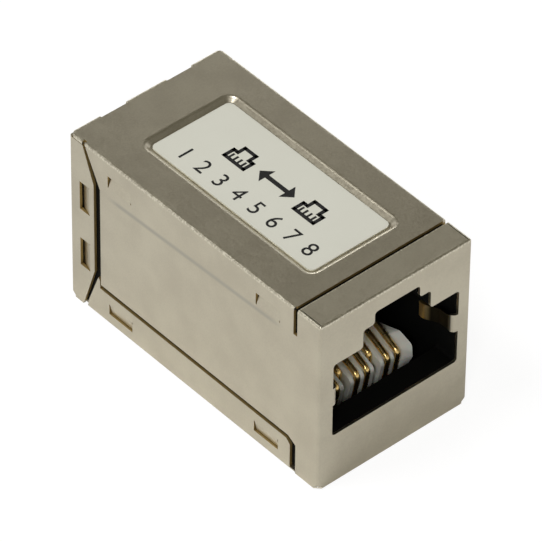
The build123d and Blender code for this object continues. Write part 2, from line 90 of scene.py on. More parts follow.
class Graph:
    """Short calls that build one shader node tree."""

    def __init__(self, tree: NodeTree) -> None:
        """Keeps the tree that the calls add to.

        Args:
            tree: The node tree of a material, a world or a group.
        """
        self.tree = tree

    def feed(self, socket: Socket, value: Any) -> None:
        """Links an output to the socket, or sets the socket's own value.

        Args:
            socket: The input to fill.
            value: An output socket, a number or a tuple.
        """
        if isinstance(value, bpy.types.NodeSocket):
            self.tree.links.new(value, socket)
        else:
            socket.default_value = value

    def add(self, kind: str, inputs: dict[Any, Any] | None = None, **settings: Any) -> bpy.types.Node:
        """Adds a node with its settings and inputs.

        Args:
            kind: The node's type name.
            inputs: Values or outputs by input name or index.
            **settings: Properties of the node.

        Returns:
            The new node.
        """
        node = self.tree.nodes.new(kind)
        for name, value in settings.items():
            setattr(node, name, value)
        for key, value in (inputs or {}).items():
            self.feed(node.inputs[key], value)
        return node

    def math(self, operation: str, *values: Any) -> Socket:
        """The result of a Math node."""
        return self.add("ShaderNodeMath", dict(enumerate(values)), operation=operation).outputs[0]

    def product(self, *values: Any) -> Socket:
        """The product of several values.

        Args:
            *values: Outputs or numbers.

        Returns:
            The product.
        """
        result = values[0]
        for value in values[1:]:
            result = self.math("MULTIPLY", result, value)
        return result

    def absolute(self, value: Socket) -> Socket:
        """The value without its sign."""
        return self.math("ABSOLUTE", value)

    def above(self, value: Socket, limit: Any) -> Socket:
        """A mask of 1 where the value is greater than the limit, and of 0 elsewhere."""
        return self.math("GREATER_THAN", value, limit)

    def below(self, value: Socket, limit: Any) -> Socket:
        """A mask of 1 where the value is less than the limit, and of 0 elsewhere."""
        return self.math("LESS_THAN", value, limit)

    def smooth(self, value: Socket, span: tuple[Any, Any], start: float = 0.0, end: float = 1.0) -> Socket:
        """A smooth step of the value over the span.

        Args:
            value: The value that drives the step.
            span: The values at which the step starts and ends.
            start: The result up to the start.
            end: The result from the end on.

        Returns:
            The step's output.
        """
        low, high = span
        inputs = {"Value": value, "From Min": low, "From Max": high, "To Min": start, "To Max": end}
        return self.add("ShaderNodeMapRange", inputs, interpolation_type="SMOOTHSTEP").outputs["Result"]

    def mix(self, factor: Any, first: Any, second: Any) -> Socket:
        """A mix of two colours, the first at a factor of 0 and the second at 1."""
        inputs = {MIX_FACTOR: factor, MIX_FIRST: as_rgba(first), MIX_SECOND: as_rgba(second)}
        return self.add("ShaderNodeMix", inputs, data_type="RGBA").outputs[MIX_RESULT]

    def noise(self, vector: Socket, scale: Socket, detail: float, roughness: float) -> Socket:
        """The value of a noise texture."""
        inputs = {"Vector": vector, "Scale": scale, "Detail": detail, "Roughness": roughness}
        return self.add("ShaderNodeTexNoise", inputs).outputs["Fac"]

    def axes(self, vector: Socket) -> tuple[Socket, Socket, Socket]:
        """The three components of a vector."""
        outputs = self.add("ShaderNodeSeparateXYZ", {0: vector}).outputs
        return outputs[0], outputs[1], outputs[2]

    def group(self, group: NodeTree, **inputs: Any) -> bpy.types.Node:
        """Places a node group with values for its named inputs."""
        return self.add("ShaderNodeGroup", inputs, node_tree=group)


def as_rgba(value: Any) -> Any:
    """A colour of three numbers with its alpha added, and anything else as it is."""
    return (*value, 1.0) if isinstance(value, tuple) and len(value) == 3 else value


def new_group(
    name: str, inputs: dict[str, float], outputs: list[str]
) -> tuple[NodeTree, Graph, Any, Any]:
    """Starts a shader node group with named sockets of plain numbers.

    Args:
        name: The group's name.
        inputs: Default value of each input by name.
        outputs: Names of the outputs.

    Returns:
        The group, its graph, the outputs that give its inputs, and the inputs that take
        its outputs.
    """
    tree = bpy.data.node_groups.new(name, "ShaderNodeTree")
    for key, value in inputs.items():
        tree.interface.new_socket(key, in_out="INPUT", socket_type="NodeSocketFloat").default_value = value
    for key in outputs:
        tree.interface.new_socket(key, in_out="OUTPUT", socket_type="NodeSocketFloat")
    graph = Graph(tree)
    return tree, graph, graph.add("NodeGroupInput").outputs, graph.add("NodeGroupOutput").inputs


@dataclass(frozen=True)
class SurfaceGrain:
    """A fine grain over a slow drift, for any moulded, printed or plated surface.

    Attributes:
        grain_mm: Size of the grain where a material gives none.
        drift_mm: Size of the drift where a material gives none.
        fine_detail: Octaves of noise in the grain.
        slow_detail: Octaves of noise in the drift.
        roughness: Strength of each octave, as a share of the one before it.
    """

    grain_mm: float = 0.1
    drift_mm: float = 4.0
    fine_detail: float = 3.0
    slow_detail: float = 2.0
    roughness: float = 0.55

    def build(self) -> NodeTree:
        """Builds the group.

        Returns:
            A group with the inputs Grain and Drift, which are the sizes in millimetres,
            and the outputs Fine and Slow, both about 0 to 1.
        """
        sizes = {"Grain": self.grain_mm, "Drift": self.drift_mm}
        tree, graph, given, made = new_group("surface_grain", sizes, ["Fine", "Slow"])
        place = graph.add("ShaderNodeTexCoord").outputs["Object"]
        layers = (("Grain", "Fine", self.fine_detail), ("Drift", "Slow", self.slow_detail))
        for size, result, detail in layers:
            scale = graph.math("DIVIDE", 1 / MM, given[size])
            graph.feed(made[result], graph.noise(place, scale, detail, self.roughness))
        return tree


@dataclass(frozen=True)
class BoxPlace:
    """Where a shaded point of the box lies and faces, as outputs, with lengths in metres.

    Attributes:
        y: Place along the box.
        z: Height above the standing face.
        from_side: Depth below the nearer side face.
        from_end: Depth behind the nearer end face.
        from_top: Depth below the top face.
        facing_x: The normal's part across the box.
        facing_z: The normal's upward part.
    """

    y: Socket
    z: Socket
    from_side: Socket
    from_end: Socket
    from_top: Socket
    facing_x: Socket
    facing_z: Socket


@dataclass(frozen=True)
class SheetEdges:
    """Masks for the edges, folds, springs, strip and crease of a box made from sheet.

    A point lies on a cut edge of a wall where it is inside the wall's thickness and its
    normal turns away from the wall's own. It lies on a fold where it is close to the top
    and to another wall at once, or on the burred end of the front strip; the nickel paints
    a highlight on the folds, the burr and, more weakly, the whole front strip. It lies on a
    spring where it is inside the box behind an end plate, and nearer to the spring's
    crest the deeper it is. The cut corners of the feet count as the springs' roots, and
    the nickel paints shade on the roots and the corners. The crease is a slanting line
    along a side wall, with painted shade in it.

    Attributes:
        sheet: Thickness of the sheet, in metres like every length here.
        bend: Radius of the folds.
        strip_length: Length of the front strip on the top.
        edge_reach: Depth of a cut edge in the top, and its distance from the other faces, in sheets.
        wall_reach: Depth of a cut edge in a side wall with its lances, in sheets.
        side_turn: Part of the normal across the box that a side wall's cut edge stays under.
        top_turn: Upward part of the normal that the top's cut edge stays under.
        fold_reach: Reach of a fold's painted highlight, in bend radii.
        top_skin: Depth under which a point is on the top face.
        burr_length: Length of the burr at the strip's end, which takes a painted highlight.
        spring_depths: Depths into a port where a spring starts and where it is full.
        crest_depths: Depths into a port where a spring's crest starts and where it is full.
        spring_inset: Least depth of a spring below a side face.
        spring_height: Least height of a spring, and its least depth below the top.
        foot_reach: Reach of a foot's cut corner from the end and from the standing face.
        foot_skin: Height over which a point is off the standing face.
        foot_turn: Upward part of the normal that a cut corner stays under.
        crease_drop: Depth of the crease below the top at the box's middle.
        crease_slope: Change of that depth per length along the box.
        crease_reach: Distance from the crease's middle line where it has faded.
        crease_depths: Depths behind an end face where the crease starts and where it is full.
        wall_skin: Depth under which a point is on a side face.
    """

    sheet: float = 0.25 * MM
    bend: float = 0.2 * MM
    strip_length: float = 2.55 * MM
    edge_reach: float = 1.2
    wall_reach: float = 2.6
    side_turn: float = 0.6
    top_turn: float = 0.5
    fold_reach: float = 1.7
    top_skin: float = 0.05 * MM
    burr_length: float = 0.1 * MM
    spring_depths: Span = (0.3 * MM, 0.6 * MM)
    crest_depths: Span = (2.0 * MM, 2.6 * MM)
    spring_inset: float = 1.0 * MM
    spring_height: float = 4.0 * MM
    foot_reach: float = 0.7 * MM
    foot_skin: float = 0.02 * MM
    foot_turn: float = -0.3
    crease_drop: float = 3.27 * MM
    crease_slope: float = 0.04
    crease_reach: float = 0.36 * MM
    crease_depths: Span = (4.0 * MM, 6.0 * MM)
    wall_skin: float = 0.03 * MM

    def build(self, width: float, length: float, height: float) -> NodeTree:
        """Builds the group.

        Args:
            width: The box's width, in metres.
            length: Its length.
            height: Its height.

        Returns:
            A group with the box's half sizes and height, the sheet, the bend and the
            strip's length as inputs, in metres, and the outputs Cut, Fold, Strip, Spring,
            Crest and Crease.
        """
        sizes = {
            "Half Width": width / 2,
            "Half Length": length / 2,
            "Height": height,
            "Sheet": self.sheet,
            "Bend": self.bend,
            "Strip Length": self.strip_length,
        }
        results = ["Cut", "Fold", "Strip", "Spring", "Crest", "Crease"]
        tree, graph, given, made = new_group("sheet_edges", sizes, results)
        x, y, z = graph.axes(graph.add("ShaderNodeTexCoord").outputs["Object"])
        facing_x, _, facing_z = graph.axes(graph.add("ShaderNodeNewGeometry").outputs["True Normal"])
        place = BoxPlace(
            y=y,
            z=z,
            from_side=graph.math("SUBTRACT", given["Half Width"], graph.absolute(x)),
            from_end=graph.math("SUBTRACT", given["Half Length"], graph.absolute(y)),
            from_top=graph.math("SUBTRACT", given["Height"], z),
            facing_x=facing_x,
            facing_z=facing_z,
        )
        strip, burr = self.strip_masks(graph, place, given["Strip Length"])
        fold = self.fold_mask(graph, place, given["Bend"])
        graph.feed(made["Cut"], self.cut_mask(graph, place, given["Sheet"]))
        graph.feed(made["Fold"], graph.math("MAXIMUM", fold, burr))
        graph.feed(made["Strip"], strip)
        graph.feed(made["Spring"], self.spring_mask(graph, place))
        graph.feed(made["Crest"], graph.smooth(place.from_end, self.crest_depths))
        graph.feed(made["Crease"], self.crease_mask(graph, place))
        return tree

    def cut_mask(self, graph: Graph, place: BoxPlace, sheet: Socket) -> Socket:
        """The cut edges of the side walls and of the top.

        Args:
            graph: The group's graph.
            place: Where the shaded point lies.
            sheet: Thickness of the sheet.

        Returns:
            The mask.
        """
        thick = graph.math("MULTIPLY", sheet, self.edge_reach)
        inside_ends = graph.above(place.from_end, thick)
        side_cut = graph.product(
            graph.below(place.from_side, graph.math("MULTIPLY", sheet, self.wall_reach)),
            graph.below(graph.absolute(place.facing_x), self.side_turn),
            graph.above(place.from_top, thick),
            graph.above(place.z, thick),
            inside_ends,
        )
        top_cut = graph.product(
            graph.below(place.from_top, thick),
            graph.below(graph.absolute(place.facing_z), self.top_turn),
            graph.above(place.from_side, thick),
            inside_ends,
        )
        return graph.math("MAXIMUM", side_cut, top_cut)

    def fold_mask(self, graph: Graph, place: BoxPlace, bend: Socket) -> Socket:
        """The folds round the top, strongest where the top meets another wall; the nickel paints a
        highlight on them.

        Args:
            graph: The group's graph.
            place: Where the shaded point lies.
            bend: Radius of the folds.

        Returns:
            The mask.
        """
        from_wall = graph.math("MINIMUM", place.from_side, place.from_end)
        from_fold = graph.math("ADD", from_wall, place.from_top)
        reach = graph.math("MULTIPLY", bend, self.fold_reach)
        return graph.smooth(from_fold, (0.0, reach), 1.0, 0.0)

    def strip_masks(self, graph: Graph, place: BoxPlace, strip_length: Socket) -> tuple[Socket, Socket]:
        """The front strip on the top, and the burr at its end, on which the nickel paints highlights.

        Args:
            graph: The group's graph.
            place: Where the shaded point lies.
            strip_length: Length of the strip.

        Returns:
            The masks of the strip and of the burr.
        """
        on_top = graph.product(graph.below(place.from_top, self.top_skin), graph.below(place.y, 0.0))
        from_strip_end = graph.math("SUBTRACT", strip_length, place.from_end)
        strip = graph.product(on_top, graph.above(from_strip_end, 0.0))
        burr = graph.product(strip, graph.below(from_strip_end, self.burr_length))
        return strip, burr

    def spring_mask(self, graph: Graph, place: BoxPlace) -> Socket:
        """The springs inside both ports, and the cut corners of the feet, on which the nickel paints shade
        that turns to brass at the springs' crests.

        Args:
            graph: The group's graph.
            place: Where the shaded point lies.

        Returns:
            The mask.
        """
        spring = graph.product(
            graph.smooth(place.from_end, self.spring_depths),
            graph.above(place.from_side, self.spring_inset),
            graph.above(place.from_top, self.spring_height),
            graph.above(place.z, self.spring_height),
        )
        foot = graph.product(
            graph.below(place.from_end, self.foot_reach),
            graph.below(place.z, self.foot_reach),
            graph.above(place.z, self.foot_skin),
            graph.below(place.facing_z, self.foot_turn),
        )
        return graph.math("MAXIMUM", spring, foot)

    def crease_mask(self, graph: Graph, place: BoxPlace) -> Socket:
        """The crease along each side wall, which falls away from the top towards the rear, and in which
        the nickel paints shade.

        Args:
            graph: The group's graph.
            place: Where the shaded point lies.

        Returns:
            The mask.
        """
        slant = graph.math("MULTIPLY_ADD", place.y, self.crease_slope, self.crease_drop)
        from_line = graph.absolute(graph.math("SUBTRACT", place.from_top, slant))
        line = graph.smooth(from_line, (0.0, self.crease_reach), 1.0, 0.0)
        on_wall = graph.below(place.from_side, self.wall_skin)
        return graph.product(line, on_wall, graph.smooth(place.from_end, self.crease_depths))


def shader(name: str, inputs: dict[str, float]) -> tuple[Material, Graph, bpy.types.Node]:
    """Starts a material with one principled shader.

    Args:
        name: The material's name.
        inputs: Plain values on the shader's own sockets.

    Returns:
        The material, its graph and the shader node.
    """
    material = bpy.data.materials.new(name)
    material.use_nodes = True
    material.node_tree.nodes.clear()
    graph = Graph(material.node_tree)
    node = graph.add("ShaderNodeBsdfPrincipled", inputs)
    graph.add("ShaderNodeOutputMaterial", {"Surface": node.outputs[0]})
    return material, graph, node


def coat(
    graph: Graph, node: bpy.types.Node, tone: Socket, rough: Socket, height: Socket | None = None
) -> None:
    """Feeds what changes over a surface to its shader.

    Args:
        graph: The material's graph.
        node: The shader node.
        tone: The surface's colour.
        rough: Its roughness.
        height: Its relief in metres, or None where it is smooth.
    """
    graph.feed(node.inputs["Base Color"], tone)
    graph.feed(node.inputs["Roughness"], rough)
    if height is not None:
        bump = graph.add("ShaderNodeBump", {"Height": height, "Distance": 1.0, "Strength": 1.0})
        graph.feed(node.inputs["Normal"], bump.outputs[0])


@dataclass(frozen=True)
class SatinNickel:
    """Dull nickel plating on brass sheet, with bare brass on the cut edges.

    Attributes:
        light: Tone of the plating where it is brightest.
        dark: Tone of the plating where it is dullest.
        painted_highlight: Tone of the painted highlight on the folds, on the burr at the front strip's end
            and on the front strip.
        brass: Tone of the bare cut edges.
        crest: Tone of the springs' crests.
        painted_shade: Tone of the painted shade at the springs' roots and on the feet's cut corners.
        crease: Tone of the painted shade in the faint crease along the side walls.
        roughness: Lowest and highest roughness of the plating.
        cut_roughness: Roughness that a cut edge adds.
        grain_mm: Size of the plating's fine mottle.
        drift_mm: Size of its slow changes of tone.
        fine_share: Share of the fine mottle in the plating's tone.
        tone_span: Values of the mottle between which the tone changes.
        roughness_span: Values of the fine mottle between which the roughness changes.
        highlight_span: Values of the fine mottle between which a fold's painted highlight changes.
        highlight_strength: Weakest and strongest painted highlight of a fold.
        strip_highlight: Strength of the painted highlight on the front strip.
        waviness_mm: Height of the sheet's slow waves.
        relief_mm: Height of the fine mottle.
        crease_mm: Depth of the crease.
    """

    light: Colour = (0.625, 0.58, 0.465)
    dark: Colour = (0.54, 0.495, 0.395)
    painted_highlight: Colour = (1.0, 0.95, 0.79)
    brass: Colour = (0.42, 0.31, 0.13)
    crest: Colour = (0.80, 0.60, 0.28)
    painted_shade: Colour = (0.035, 0.028, 0.015)
    crease: Colour = (0.45, 0.425, 0.36)
    roughness: Span = (0.29, 0.40)
    cut_roughness: float = 0.3
    grain_mm: float = 0.16
    drift_mm: float = 3.2
    fine_share: float = 0.45
    tone_span: Span = (0.3, 0.7)
    roughness_span: Span = (0.25, 0.75)
    highlight_span: Span = (0.42, 0.62)
    highlight_strength: Span = (0.1, 0.9)
    strip_highlight: float = 0.25
    waviness_mm: float = 0.005
    relief_mm: float = 0.0008
    crease_mm: float = 0.006

    def build(self, grain: NodeTree, edges: NodeTree) -> Material:
        """Builds the material.

        Args:
            grain: The shared grain group.
            edges: The sheet edge group.

        Returns:
            The finished material.
        """
        material, graph, node = shader("satin_nickel", {"Metallic": 1.0})
        mottle = graph.group(grain, Grain=self.grain_mm, Drift=self.drift_mm).outputs
        masks = graph.group(edges).outputs
        fine = graph.product(mottle["Fine"], self.fine_share)
        slow = graph.product(mottle["Slow"], 1.0 - self.fine_share)
        blend = graph.smooth(graph.math("ADD", fine, slow), self.tone_span)
        plating = graph.mix(blend, self.dark, self.light)
        # Painted highlight: the folds, the burr at the strip's end and, more weakly, the front strip are
        # lightened towards the bright tone, as if catching the light.
        highlight_strength = graph.smooth(mottle["Fine"], self.highlight_span, *self.highlight_strength)
        stripped = graph.mix(graph.product(masks["Strip"], self.strip_highlight), plating, self.painted_highlight)
        folded = graph.mix(graph.product(masks["Fold"], highlight_strength), stripped, self.painted_highlight)
        # Painted shade in the crease along the side walls, which also sinks in the relief.
        creased = graph.mix(masks["Crease"], folded, self.crease)
        # Painted shade at the springs' roots and on the feet's cut corners, turning to the springs' own
        # brass from their crests on.
        spring_tone = graph.mix(masks["Crest"], self.painted_shade, self.crest)
        sprung = graph.mix(masks["Spring"], creased, spring_tone)
        tone = graph.mix(masks["Cut"], sprung, self.brass)
        uneven = graph.smooth(mottle["Fine"], self.roughness_span, *self.roughness)
        rough = graph.math("ADD", uneven, graph.product(masks["Cut"], self.cut_roughness))
        waves = graph.product(mottle["Slow"], self.waviness_mm * MM)
        relief = graph.product(mottle["Fine"], self.relief_mm * MM)
        sunk = graph.math("MULTIPLY_ADD", masks["Crease"], -self.crease_mm * MM, relief)
        coat(graph, node, tone, rough, graph.math("ADD", waves, sunk))
        return material


@dataclass(frozen=True)
class Moulding:
    """Moulded plastic with a fine mould texture.

    Attributes:
        name: The material's name.
        colour: Its tone.
        shade: Its tone where it is dullest.
        roughness: Its lowest and highest roughness.
        shine: Strength of the surface reflection, where 0.5 is common plastic.
        subsurface: Share of light that goes into the plastic.
        scatter_mm: How far that light spreads.
        grain_mm: Size of the mould texture.
        drift_mm: Size of the slow changes of tone.
        relief_mm: Height of the mould texture.
    """

    name: str
    colour: Colour
    shade: Colour
    roughness: Span
    shine: float = 0.5
    subsurface: float = 0.0
    scatter_mm: float = 0.4
    grain_mm: float = 0.12
    drift_mm: float = 2.5
    relief_mm: float = 0.002

    def build(self, grain: NodeTree) -> Material:
        """Builds the material.

        Args:
            grain: The shared grain group.

        Returns:
            The finished material.
        """
        settings = {
            "Subsurface Weight": self.subsurface,
            "Subsurface Scale": self.scatter_mm * MM,
            "Specular IOR Level": self.shine,
        }
        material, graph, node = shader(self.name, settings)
        texture = graph.group(grain, Grain=self.grain_mm, Drift=self.drift_mm).outputs
        tone = graph.mix(texture["Slow"], self.shade, self.colour)
        rough = graph.smooth(texture["Fine"], NOISE_SPAN, *self.roughness)
        coat(graph, node, tone, rough, graph.product(texture["Fine"], self.relief_mm * MM))
        return material


@dataclass(frozen=True)
class GoldPlate:
    """Bright gold plating on drawn wire.

    Attributes:
        light: Tone of fresh plating.
        dark: Tone where the plating is thin.
        roughness: Lowest and highest roughness.
        drift_mm: Size of the slow changes of tone.
    """

    light: Colour = (1.0, 0.74, 0.31)
    dark: Colour = (0.74, 0.50, 0.18)
    roughness: Span = (0.23, 0.31)
    drift_mm: float = 1.2

    def build(self, grain: NodeTree) -> Material:
        """Builds the material.

        Args:
            grain: The shared grain group.

        Returns:
            The finished material.
        """
        material, graph, node = shader("gold_plate", {"Metallic": 1.0})
        texture = graph.group(grain, Drift=self.drift_mm).outputs
        tone = graph.mix(texture["Slow"], self.dark, self.light)
        coat(graph, node, tone, graph.smooth(texture["Slow"], NOISE_SPAN, *self.roughness))
        return material


@dataclass(frozen=True)
class LabelFilm:
    """Off-white film under a thin clear coat, a little uneven.

    Attributes:
        light: Tone of the film.
        dark: Tone where it is dullest.
        roughness: Lowest and highest roughness.
        clear_coat: Strength of the clear coat.
        coat_roughness: Roughness of the clear coat.
        grain_mm: Size of the film's grain.
        drift_mm: Size of its slow changes of tone.
        relief_mm: Height of the grain.
    """

    light: Colour = (0.83, 0.83, 0.74)
    dark: Colour = (0.79, 0.79, 0.70)
    roughness: Span = (0.42, 0.55)
    clear_coat: float = 0.15
    coat_roughness: float = 0.3
    grain_mm: float = 0.14
    drift_mm: float = 3.0
    relief_mm: float = 0.003

    def build(self, grain: NodeTree) -> Material:
        """Builds the material.

        Args:
            grain: The shared grain group.

        Returns:
            The finished material.
        """
        settings = {"Coat Weight": self.clear_coat, "Coat Roughness": self.coat_roughness}
        material, graph, node = shader("label_film", settings)
        texture = graph.group(grain, Grain=self.grain_mm, Drift=self.drift_mm).outputs
        tone = graph.mix(texture["Slow"], self.dark, self.light)
        rough = graph.smooth(texture["Fine"], NOISE_SPAN, *self.roughness)
        coat(graph, node, tone, rough, graph.product(texture["Fine"], self.relief_mm * MM))
        return material


@dataclass(frozen=True)
class PrintInk:
    """Black ink on the label, a little worn.

    Attributes:
        full: Tone where the ink lies thick.
        worn: Tone where it lies thin.
        roughness: Lowest and highest roughness.
        shine: Strength of the surface reflection, where 0.5 is common plastic.
        grain_mm: Size of the wear.
    """

    full: Colour = (0.012, 0.012, 0.012)
    worn: Colour = (0.03, 0.03, 0.03)
    roughness: Span = (0.4, 0.6)
    shine: float = 0.12
    grain_mm: float = 0.1

    def build(self, grain: NodeTree) -> Material:
        """Builds the material.

        Args:
            grain: The shared grain group.

        Returns:
            The finished material.
        """
        material, graph, node = shader("print_ink", {"Specular IOR Level": self.shine})
        texture = graph.group(grain, Grain=self.grain_mm).outputs
        tone = graph.mix(texture["Fine"], self.full, self.worn)
        coat(graph, node, tone, graph.smooth(texture["Fine"], NOISE_SPAN, *self.roughness))
        return material


def link_mesh(name: str, mesh: bpy.types.Mesh) -> bpy.types.Object:
    """Makes a piece from a mesh and links it to the scene.

    Args:
        name: The piece's name.
        mesh: Its mesh.

    Returns:
        The linked object.
    """
    made = bpy.data.objects.new(name, mesh)
    bpy.context.scene.collection.objects.link(made)
    return made


def mesh_object(
    name: str, points: np.ndarray, faces: list[Face], material: Material
) -> bpy.types.Object:
    """Makes a piece from points and faces, with its place in its mesh.

    Args:
        name: The piece's name.
        points: An array of n by 3, in metres.
        faces: Point numbers of each face, turning left as seen from outside.
        material: The piece's only material.

    Returns:
        The linked object.
    """
    mesh = bpy.data.meshes.new(name)
    mesh.from_pydata(points.tolist(), [], faces)
    mesh.materials.append(material)
    mesh.validate()
    return link_mesh(name, mesh)


def rectangle(left: float, low: float, right: float, high: float) -> np.ndarray:
    """The four corners of an upright rectangle, turning left from its low left one."""
    return np.array([(left, low), (right, low), (right, high), (left, high)])


def prism(outline: np.ndarray, low: float, high: float) -> Shape:
    """A flat outline raised between two heights.

    The point (x, y) of the outline gives (x, y, low) and (x, y, high), and each pair of
    neighbours along it gives one upright face.

    Args:
        outline: An array of n by 2 that turns left, in metres.
        low: Height of the bottom.
        high: Height of the top.

    Returns:
        The points and the faces.
    """
    count = len(outline)
    rings = [np.column_stack([outline, np.full(count, z)]) for z in (low, high)]
    step = np.arange(count)
    after = (step + 1) % count
    walls = np.column_stack([step, after, after + count, step + count])
    faces = [tuple(map(int, wall)) for wall in walls]
    faces.append(tuple(range(count - 1, -1, -1)))
    faces.append(tuple(range(count, 2 * count)))
    return np.vstack(rings), faces


def join_shapes(shapes: list[Shape]) -> Shape:
    """Several shapes as one.

    Args:
        shapes: The points and the faces of each shape.

    Returns:
        The points and the faces of all of them.
    """
    points: list[np.ndarray] = []
    faces: list[Face] = []
    start = 0
    for part_points, part_faces in shapes:
        points.append(part_points)
        faces += [tuple(index + start for index in face) for face in part_faces]
        start += len(part_points)
    return np.vstack(points), faces


@dataclass
class LabelPrint:
    """The label's print: two port signs joined by a double arrow, over a row of pin numbers.

    The print reads from the rear to the front, with its top towards +X.

    Attributes:
        sign_x: Middle line of the bold row, in metres like every length here.
        number_x: Middle line of the row of numbers.
        middle_y: Middle of both rows along the box.
        sign_height: Height of the bold row.
        sign_length: Length of the bold row.
        number_height: Height of the numbers.
        ink_thickness: How far the ink stands on the film.
        port_reach: Half width of a port sign, as a share of the row's height.
        stroke: Width of a port sign's strokes, as a share of the row's height.
        shoulder_drop: Depth of a port sign's steps below its top, as a share of the row's height.
        key_reach: Half width of the top above the steps, as a share of the sign's half width.
        pin_count: Number of pins in a port sign.
        pin_spread: Place of the outer pins, as a share of the sign's half width.
        pin_reach: Half width of a pin, in strokes.
        pin_top: Height of a pin's end above the sign's foot, in strokes.
        arrow_reach: Half length of the arrow, as a share of the row's length.
        head_reach: Length and half width of an arrow head, as a share of the row's height.
        shaft_reach: Half width of the arrow's shaft, as a share of the row's height.
        digit_height: Height of the font's digits, as a share of its size.
        digit_spacing: Distance between the digits, where 1 is the font's own.
        curve_steps: Straight steps along each curve of a digit.
    """

    sign_x: float = 0.7 * MM
    number_x: float = -2.3 * MM
    middle_y: float = -0.1 * MM
    sign_height: float = 2.0 * MM
    sign_length: float = 10.4 * MM
    number_height: float = 1.45 * MM
    ink_thickness: float = 0.012 * MM
    port_reach: float = 0.62
    stroke: float = 0.16
    shoulder_drop: float = 0.36
    key_reach: float = 0.5
    pin_count: int = 4
    pin_spread: float = 0.55
    pin_reach: float = 0.3
    pin_top: float = 2.6
    arrow_reach: float = 0.19
    head_reach: float = 0.42
    shaft_reach: float = 0.1
    digit_height: float = 0.7
    digit_spacing: float = 1.95
    curve_steps: int = 6

    def place(self, row: np.ndarray, middle_x: float) -> np.ndarray:
        """Turns (along, up) of a row into (x, y) on the box."""
        return np.column_stack([middle_x + row[:, 1], self.middle_y - row[:, 0]])

    def port_sign(self, along: float) -> list[np.ndarray]:
        """The strokes of a stepped port outline with its pins.

        Args:
            along: Middle of the sign along the row.

        Returns:
            The four corners of each stroke.
        """
        half = self.sign_height * self.port_reach
        stroke = self.sign_height * self.stroke
        low, high = -self.sign_height / 2, self.sign_height / 2
        shoulder = high - self.sign_height * self.shoulder_drop
        key = half * self.key_reach
        outlines = [
            rectangle(-half, low, half, low + stroke),
            rectangle(-half, low, -half + stroke, shoulder),
            rectangle(half - stroke, low, half, shoulder),
            rectangle(-half, shoulder - stroke, -key, shoulder),
            rectangle(key, shoulder - stroke, half, shoulder),
            rectangle(-key - stroke / 2, shoulder - stroke, -key + stroke / 2, high),
            rectangle(key - stroke / 2, shoulder - stroke, key + stroke / 2, high),
            rectangle(-key - stroke / 2, high - stroke, key + stroke / 2, high),
        ]
        reach, top = stroke * self.pin_reach, low + stroke * self.pin_top
        for pin in np.linspace(-half * self.pin_spread, half * self.pin_spread, self.pin_count):
            outlines.append(rectangle(pin - reach, low + stroke, pin + reach, top))
        return [outline + np.array([along, 0.0]) for outline in outlines]

    def arrow_sign(self) -> list[np.ndarray]:
        """The strokes of a double arrow: one shaft and a head at each end.

        Returns:
            The corners of each stroke.
        """
        half = self.sign_length * self.arrow_reach
        head = self.sign_height * self.head_reach
        shaft = self.sign_height * self.shaft_reach
        neck = half - head
        return [
            rectangle(-neck, -shaft, neck, shaft),
            np.array([(neck, -head), (half, 0.0), (neck, head)]),
            np.array([(-neck, head), (-half, 0.0), (-neck, -head)]),
        ]

    def build(self, material: Material) -> list[bpy.types.Object]:
        """Builds both rows on the label's top face.

        Args:
            material: The ink.

        Returns:
            The two finished pieces.
        """
        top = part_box("label")[1].z
        reach = self.sign_length / 2 - self.sign_height * self.port_reach
        rows = self.port_sign(-reach) + self.arrow_sign() + self.port_sign(reach)
        shapes = [prism(self.place(row, self.sign_x), top, top + self.ink_thickness) for row in rows]
        signs = mesh_object("label_port_signs", *join_shapes(shapes), material)
        return [signs, self.build_numbers(material, top)]

    def build_numbers(self, material: Material, top: float) -> bpy.types.Object:
        """Builds the row of pin numbers from flat text.

        Args:
            material: The ink.
            top: Height of the label's top face.

        Returns:
            The finished piece.
        """
        words = bpy.data.curves.new("label_pin_numbers", "FONT")
        words.body = "12345678"
        words.size = self.number_height / self.digit_height
        words.space_character = self.digit_spacing
        words.align_x = "CENTER"
        words.align_y = "CENTER"
        words.extrude = self.ink_thickness / 2
        words.resolution_u = self.curve_steps
        flat = bpy.data.objects.new("label_pin_numbers", words)
        bpy.context.scene.collection.objects.link(flat)
        mesh = bpy.data.meshes.new_from_object(flat.evaluated_get(bpy.context.evaluated_depsgraph_get()))
        bpy.data.objects.remove(flat)
        turn = Matrix(((0, 1, 0), (-1, 0, 0), (0, 0, 1))).to_4x4()
        middle = Vector((self.number_x, self.middle_y, top + self.ink_thickness / 2))
        mesh.transform(Matrix.Translation(middle) @ turn)
        mesh.materials.clear()
        mesh.materials.append(material)
        return link_mesh("label_pin_numbers", mesh)


def direction(azimuth: float, elevation: float) -> Vector:
    """The direction from the box to a place round it.

    Args:
        azimuth: Turn round the box in degrees, where 0 is in front of it.
        elevation: Height above the horizon in degrees.

    Returns:
        A vector of length 1.
    """
    turn, tilt = math.radians(azimuth), math.radians(elevation)
    across, up = math.cos(tilt), math.sin(tilt)
    return Vector((math.sin(turn) * across, -math.cos(turn) * across, up))


def facing_box(away: Vector) -> Matrix:
    """The turn of a camera or lamp that lies in a direction from the box and looks back along it."""
    return (-away).to_track_quat("-Z", "Y").to_matrix().to_4x4()


@dataclass(frozen=True)
class Lamp:
    """One soft round lamp that faces the box.

    Attributes:
        name: The lamp's name.
        azimuth: Its turn round the box in degrees, as the camera's.
        elevation: Its height above the horizon in degrees.
        reach: Its distance from the box, in metres.
        size: Its width, in metres.
        power: Its power in watts.
    """

    name: str
    azimuth: float
    elevation: float
    reach: float
    size: float
    power: float

    def hang(self) -> None:
        """Hangs the lamp in the scene."""
        data = bpy.data.lights.new(self.name, "AREA")
        data.shape = "DISK"
        data.size = self.size
        data.energy = self.power
        lamp = bpy.data.objects.new(self.name, data)
        away = direction(self.azimuth, self.elevation)
        lamp.matrix_world = Matrix.Translation(away * self.reach) @ facing_box(away)
        bpy.context.scene.collection.objects.link(lamp)


